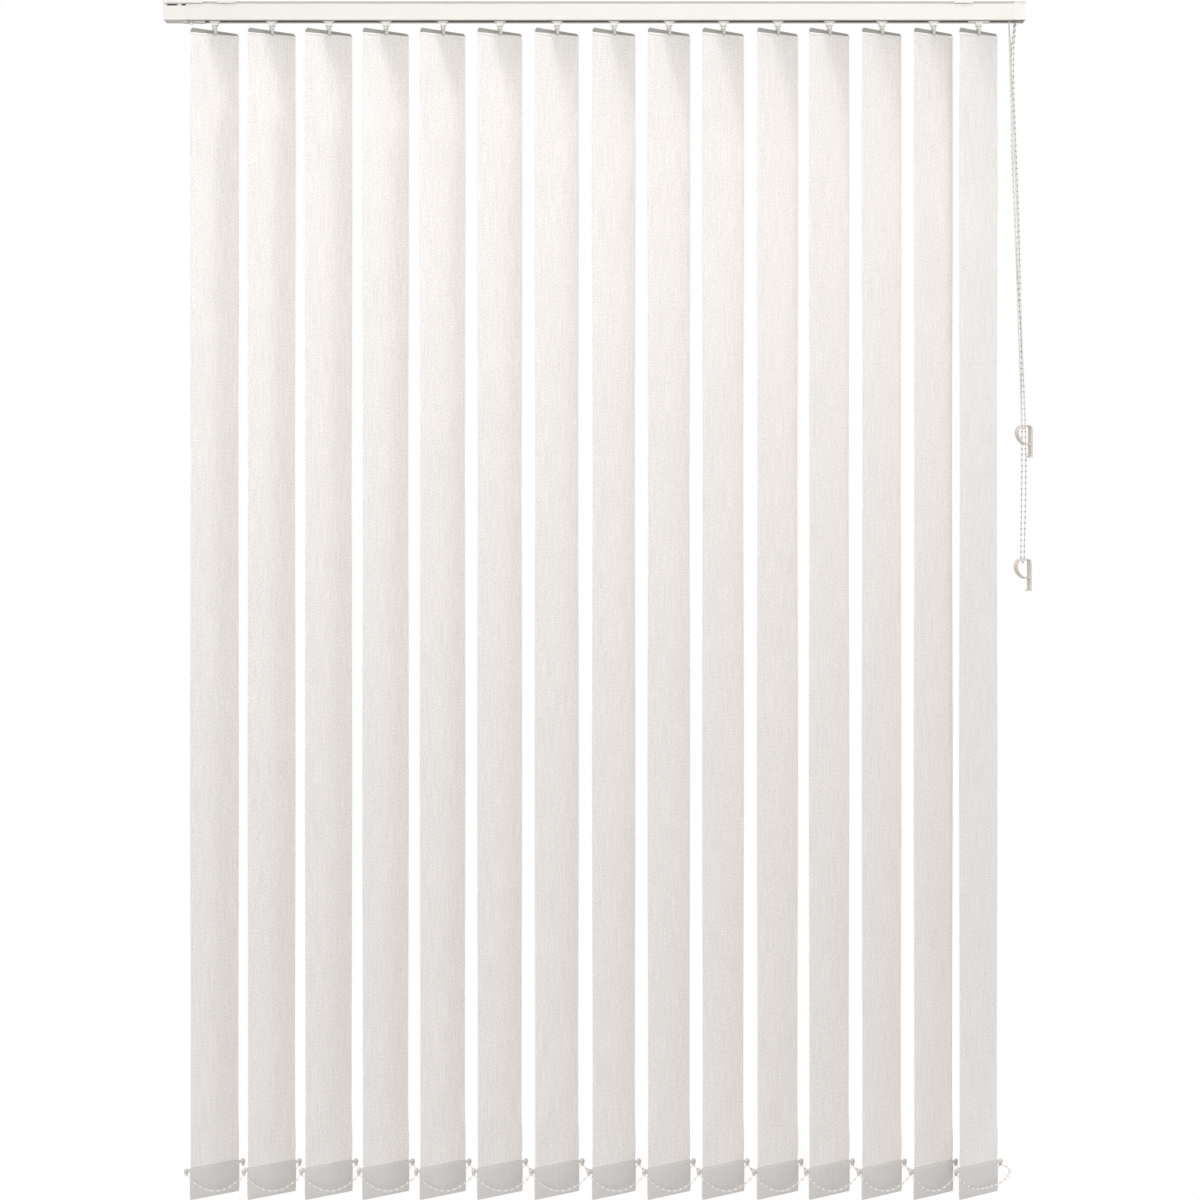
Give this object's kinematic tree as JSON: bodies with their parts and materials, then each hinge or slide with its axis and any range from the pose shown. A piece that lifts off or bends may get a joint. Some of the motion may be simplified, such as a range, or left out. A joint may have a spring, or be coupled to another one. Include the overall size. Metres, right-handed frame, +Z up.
{
  "type": "vertical blind",
  "caption": "Vertical blind: a headrail of sliding carriers that hang and turn woven vanes, weighted and linked by bead chains below, with a tilt chain and a draw cord at one end.",
  "frame": {"origin": "ceiling plane midway between the two mounting clips' screw holes, over the middle of the rail", "axes": "+X along the rail to the control end, +Y from the room to the window, +Z up"},
  "size_m": [1.8199, 0.1146, 2.5],
  "materials": {
    "rail": "satin powder coat",
    "cap": "satin moulded",
    "clip": "smooth",
    "bracket": "satin",
    "carrier": "moulded",
    "stem": "smooth",
    "fabric": "plain weave",
    "rod": "drawn",
    "wheel": "moulded",
    "bead": "smooth",
    "cord": "braided",
    "hook": "moulded"
  },
  "bodies": {
    "rail": {"headrail": "rail", "left_end_cap": "cap", "right_end_cap": "cap", "mounting_clips": "clip", "end_bracket": "bracket", "carrier_01": "carrier", "tilt_chain": "bead", "traverse_cord": "cord", "cord_hook": "hook", "chain_hook": "hook"},
    "rod": {"tilt_rod": "rod", "chain_sprocket": "wheel"},
    "idler": {"idler_pulley": "wheel"},
    "control": {"control_pulley": "wheel"},
    "carriage_02": {"carrier_02": "carrier"},
    "carriage_03": {"carrier_03": "carrier"},
    "carriage_04": {"carrier_04": "carrier"},
    "carriage_05": {"carrier_05": "carrier"},
    "carriage_06": {"carrier_06": "carrier"},
    "carriage_07": {"carrier_07": "carrier"},
    "carriage_08": {"carrier_08": "carrier"},
    "carriage_09": {"carrier_09": "carrier"},
    "carriage_10": {"carrier_10": "carrier"},
    "carriage_11": {"carrier_11": "carrier"},
    "carriage_12": {"carrier_12": "carrier"},
    "carriage_13": {"carrier_13": "carrier"},
    "carriage_14": {"carrier_14": "carrier"},
    "carriage_15": {"carrier_15": "carrier"},
    "leaf_01": {"stem_01": "stem", "vane_01": "fabric"},
    "leaf_02": {"stem_02": "stem", "vane_02": "fabric"},
    "leaf_03": {"stem_03": "stem", "vane_03": "fabric"},
    "leaf_04": {"stem_04": "stem", "vane_04": "fabric"},
    "leaf_05": {"stem_05": "stem", "vane_05": "fabric"},
    "leaf_06": {"stem_06": "stem", "vane_06": "fabric"},
    "leaf_07": {"stem_07": "stem", "vane_07": "fabric"},
    "leaf_08": {"stem_08": "stem", "vane_08": "fabric"},
    "leaf_09": {"stem_09": "stem", "vane_09": "fabric"},
    "leaf_10": {"stem_10": "stem", "vane_10": "fabric"},
    "leaf_11": {"stem_11": "stem", "vane_11": "fabric"},
    "leaf_12": {"stem_12": "stem", "vane_12": "fabric"},
    "leaf_13": {"stem_13": "stem", "vane_13": "fabric"},
    "leaf_14": {"stem_14": "stem", "vane_14": "fabric"},
    "leaf_15": {"stem_15": "stem", "vane_15": "fabric"},
    "front_chain": {"front_bottom_chain": "bead"},
    "back_chain": {"back_bottom_chain": "bead"}
  },
  "joints": [
    {"name": "traverse", "type": "slide", "parent": "rail", "child": "carriage_15", "axis": [-1, 0, 0], "range_m": [0, 1.21879], "deforming": ["front_bottom_chain", "back_bottom_chain"]},
    {"name": "tilt", "type": "hinge", "parent": "rail", "child": "leaf_01", "pos_m": [-0.796, 0, -0.03], "axis": [0, 0, 1], "range_deg": [-33, 123]},
    {"name": "carrier_slide_02", "type": "slide", "parent": "rail", "child": "carriage_02", "axis": [-1, 0, 0], "range_m": [0, 0.09221]},
    {"name": "carrier_slide_03", "type": "slide", "parent": "rail", "child": "carriage_03", "axis": [-1, 0, 0], "range_m": [0, 0.18423]},
    {"name": "carrier_slide_04", "type": "slide", "parent": "rail", "child": "carriage_04", "axis": [-1, 0, 0], "range_m": [0, 0.27624]},
    {"name": "carrier_slide_05", "type": "slide", "parent": "rail", "child": "carriage_05", "axis": [-1, 0, 0], "range_m": [0, 0.36826]},
    {"name": "carrier_slide_06", "type": "slide", "parent": "rail", "child": "carriage_06", "axis": [-1, 0, 0], "range_m": [0, 0.46027]},
    {"name": "carrier_slide_07", "type": "slide", "parent": "rail", "child": "carriage_07", "axis": [-1, 0, 0], "range_m": [0, 0.55229]},
    {"name": "carrier_slide_08", "type": "slide", "parent": "rail", "child": "carriage_08", "axis": [-1, 0, 0], "range_m": [0, 0.6443]},
    {"name": "carrier_slide_09", "type": "slide", "parent": "rail", "child": "carriage_09", "axis": [-1, 0, 0], "range_m": [0, 0.7331]},
    {"name": "carrier_slide_10", "type": "slide", "parent": "rail", "child": "carriage_10", "axis": [-1, 0, 0], "range_m": [0, 0.82051]},
    {"name": "carrier_slide_11", "type": "slide", "parent": "rail", "child": "carriage_11", "axis": [-1, 0, 0], "range_m": [0, 0.90839]},
    {"name": "carrier_slide_12", "type": "slide", "parent": "rail", "child": "carriage_12", "axis": [-1, 0, 0], "range_m": [0, 0.99166]},
    {"name": "carrier_slide_13", "type": "slide", "parent": "rail", "child": "carriage_13", "axis": [-1, 0, 0], "range_m": [0, 1.07631]},
    {"name": "carrier_slide_14", "type": "slide", "parent": "rail", "child": "carriage_14", "axis": [-1, 0, 0], "range_m": [0, 1.15958]},
    {"name": "vane_turn_02", "type": "hinge", "parent": "carriage_02", "child": "leaf_02", "pos_m": [-0.6765, 0, -0.03], "axis": [0, 0, 1], "range_deg": [-33.1, 123.1]},
    {"name": "vane_turn_03", "type": "hinge", "parent": "carriage_03", "child": "leaf_03", "pos_m": [-0.557, 0, -0.03], "axis": [0, 0, 1], "range_deg": [-33.1, 123.1]},
    {"name": "vane_turn_04", "type": "hinge", "parent": "carriage_04", "child": "leaf_04", "pos_m": [-0.4375, 0, -0.03], "axis": [0, 0, 1], "range_deg": [-33.1, 123.1]},
    {"name": "vane_turn_05", "type": "hinge", "parent": "carriage_05", "child": "leaf_05", "pos_m": [-0.318, 0, -0.03], "axis": [0, 0, 1], "range_deg": [-33.1, 123.1]},
    {"name": "vane_turn_06", "type": "hinge", "parent": "carriage_06", "child": "leaf_06", "pos_m": [-0.1985, 0, -0.03], "axis": [0, 0, 1], "range_deg": [-33.1, 123.1]},
    {"name": "vane_turn_07", "type": "hinge", "parent": "carriage_07", "child": "leaf_07", "pos_m": [-0.079, 0, -0.03], "axis": [0, 0, 1], "range_deg": [-33.1, 123.1]},
    {"name": "vane_turn_08", "type": "hinge", "parent": "carriage_08", "child": "leaf_08", "pos_m": [0.0405, 0, -0.03], "axis": [0, 0, 1], "range_deg": [-33.1, 123.1]},
    {"name": "vane_turn_09", "type": "hinge", "parent": "carriage_09", "child": "leaf_09", "pos_m": [0.15582, 0, -0.03], "axis": [0, 0, 1], "range_deg": [-33.1, 123.1]},
    {"name": "vane_turn_10", "type": "hinge", "parent": "carriage_10", "child": "leaf_10", "pos_m": [0.26934, 0, -0.03], "axis": [0, 0, 1], "range_deg": [-33.1, 123.1]},
    {"name": "vane_turn_11", "type": "hinge", "parent": "carriage_11", "child": "leaf_11", "pos_m": [0.38347, 0, -0.03], "axis": [0, 0, 1], "range_deg": [-33.1, 123.1]},
    {"name": "vane_turn_12", "type": "hinge", "parent": "carriage_12", "child": "leaf_12", "pos_m": [0.49161, 0, -0.03], "axis": [0, 0, 1], "range_deg": [-33.1, 123.1]},
    {"name": "vane_turn_13", "type": "hinge", "parent": "carriage_13", "child": "leaf_13", "pos_m": [0.60155, 0, -0.03], "axis": [0, 0, 1], "range_deg": [-33.1, 123.1]},
    {"name": "vane_turn_14", "type": "hinge", "parent": "carriage_14", "child": "leaf_14", "pos_m": [0.7097, 0, -0.03], "axis": [0, 0, 1], "range_deg": [-33.1, 123.1]},
    {"name": "vane_turn_15", "type": "hinge", "parent": "carriage_15", "child": "leaf_15", "pos_m": [0.8041, 0, -0.03], "axis": [0, 0, 1], "range_deg": [-33.1, 123.1]},
    {"name": "front_chain_swing", "type": "hinge", "parent": "leaf_01", "child": "front_chain", "pos_m": [-0.84868, -0.05268, -2.447], "axis": [0, 0, 1], "range_deg": [-123.1, 33.1]},
    {"name": "back_chain_swing", "type": "hinge", "parent": "leaf_01", "child": "back_chain", "pos_m": [-0.74332, 0.05268, -2.447], "axis": [0, 0, 1], "range_deg": [-123.1, 33.1]},
    {"name": "rod_turn", "type": "hinge", "parent": "rail", "child": "rod", "pos_m": [0, 0.008, -0.018], "axis": [1, 0, 0], "range_deg": [-331, 1231]},
    {"name": "idler_turn", "type": "hinge", "parent": "rail", "child": "idler", "pos_m": [-0.872, -0.003, -0.007], "axis": [0, 0, 1], "range_deg": [-13968.3, 0]},
    {"name": "control_turn", "type": "hinge", "parent": "rail", "child": "control", "pos_m": [0.859, -0.008, -0.014], "axis": [0, 1, 0], "range_deg": [-9977.9, 0]}
  ],
  "couplings": [
    {"joint": "carrier_slide_02", "follows": "traverse", "ratio": 0.075497},
    {"joint": "carrier_slide_03", "follows": "traverse", "ratio": 0.15099},
    {"joint": "carrier_slide_04", "follows": "traverse", "ratio": 0.22649},
    {"joint": "carrier_slide_05", "follows": "traverse", "ratio": 0.30199},
    {"joint": "carrier_slide_06", "follows": "traverse", "ratio": 0.37748},
    {"joint": "carrier_slide_07", "follows": "traverse", "ratio": 0.45298},
    {"joint": "carrier_slide_08", "follows": "traverse", "ratio": 0.52848},
    {"joint": "carrier_slide_09", "follows": "traverse", "ratio": 0.60133},
    {"joint": "carrier_slide_10", "follows": "traverse", "ratio": 0.67305},
    {"joint": "carrier_slide_11", "follows": "traverse", "ratio": 0.74515},
    {"joint": "carrier_slide_12", "follows": "traverse", "ratio": 0.81348},
    {"joint": "carrier_slide_13", "follows": "traverse", "ratio": 0.88294},
    {"joint": "carrier_slide_14", "follows": "traverse", "ratio": 0.95126},
    {"joint": "vane_turn_02", "follows": "tilt", "ratio": 1},
    {"joint": "vane_turn_03", "follows": "tilt", "ratio": 1},
    {"joint": "vane_turn_04", "follows": "tilt", "ratio": 1},
    {"joint": "vane_turn_05", "follows": "tilt", "ratio": 1},
    {"joint": "vane_turn_06", "follows": "tilt", "ratio": 1},
    {"joint": "vane_turn_07", "follows": "tilt", "ratio": 1},
    {"joint": "vane_turn_08", "follows": "tilt", "ratio": 1},
    {"joint": "vane_turn_09", "follows": "tilt", "ratio": 1},
    {"joint": "vane_turn_10", "follows": "tilt", "ratio": 1},
    {"joint": "vane_turn_11", "follows": "tilt", "ratio": 1},
    {"joint": "vane_turn_12", "follows": "tilt", "ratio": 1},
    {"joint": "vane_turn_13", "follows": "tilt", "ratio": 1},
    {"joint": "vane_turn_14", "follows": "tilt", "ratio": 1},
    {"joint": "vane_turn_15", "follows": "tilt", "ratio": 1},
    {"joint": "front_chain_swing", "follows": "tilt", "ratio": -1},
    {"joint": "back_chain_swing", "follows": "tilt", "ratio": -1},
    {"joint": "rod_turn", "follows": "tilt", "ratio": 10},
    {"joint": "idler_turn", "follows": "traverse", "rad_per_m": -200},
    {"joint": "control_turn", "follows": "traverse", "rad_per_m": -142.86}
  ]
}
